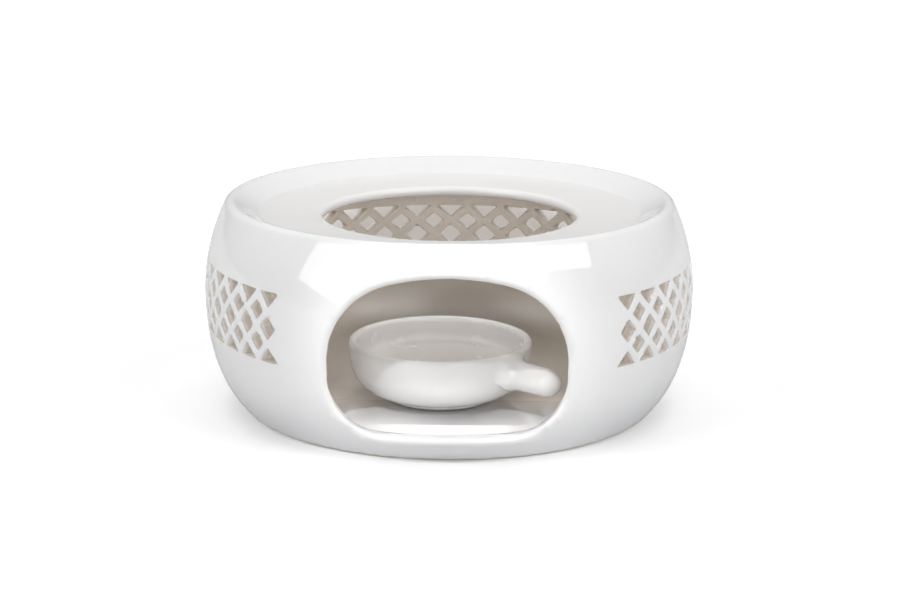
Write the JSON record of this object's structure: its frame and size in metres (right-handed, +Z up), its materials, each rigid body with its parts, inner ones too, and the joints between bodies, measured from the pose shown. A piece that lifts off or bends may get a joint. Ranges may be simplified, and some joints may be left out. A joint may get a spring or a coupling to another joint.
{
  "type": "teapot warmer",
  "caption": "Round glazed porcelain teapot warmer with pierced lattice panels, an arched front mouth, a recessed pot ledge round a central hole, and a loose tea light dish with a handle inside.",
  "frame": {"origin": "on the standing plane under the middle of the object's box; the drum's own axis is 1.77 mm in front of it, because the mouth takes the front off the drum", "axes": "+Z up, -Y out of the front mouth, +X to the right seen from the front"},
  "size_m": [0.15, 0.1462, 0.0643],
  "materials": {
    "drum_glaze": "gloss",
    "dish_glaze": "gloss"
  },
  "bodies": {
    "drum": {"warmer_body": "drum_glaze"},
    "dish": {"tealight_dish": "dish_glaze"}
  },
  "joints": [
    {"name": "dish_slide", "type": "slide", "parent": "drum", "child": "dish", "axis": [-0.0337, -0.9653, 0.2588], "range_m": [0, 0.1]}
  ]
}
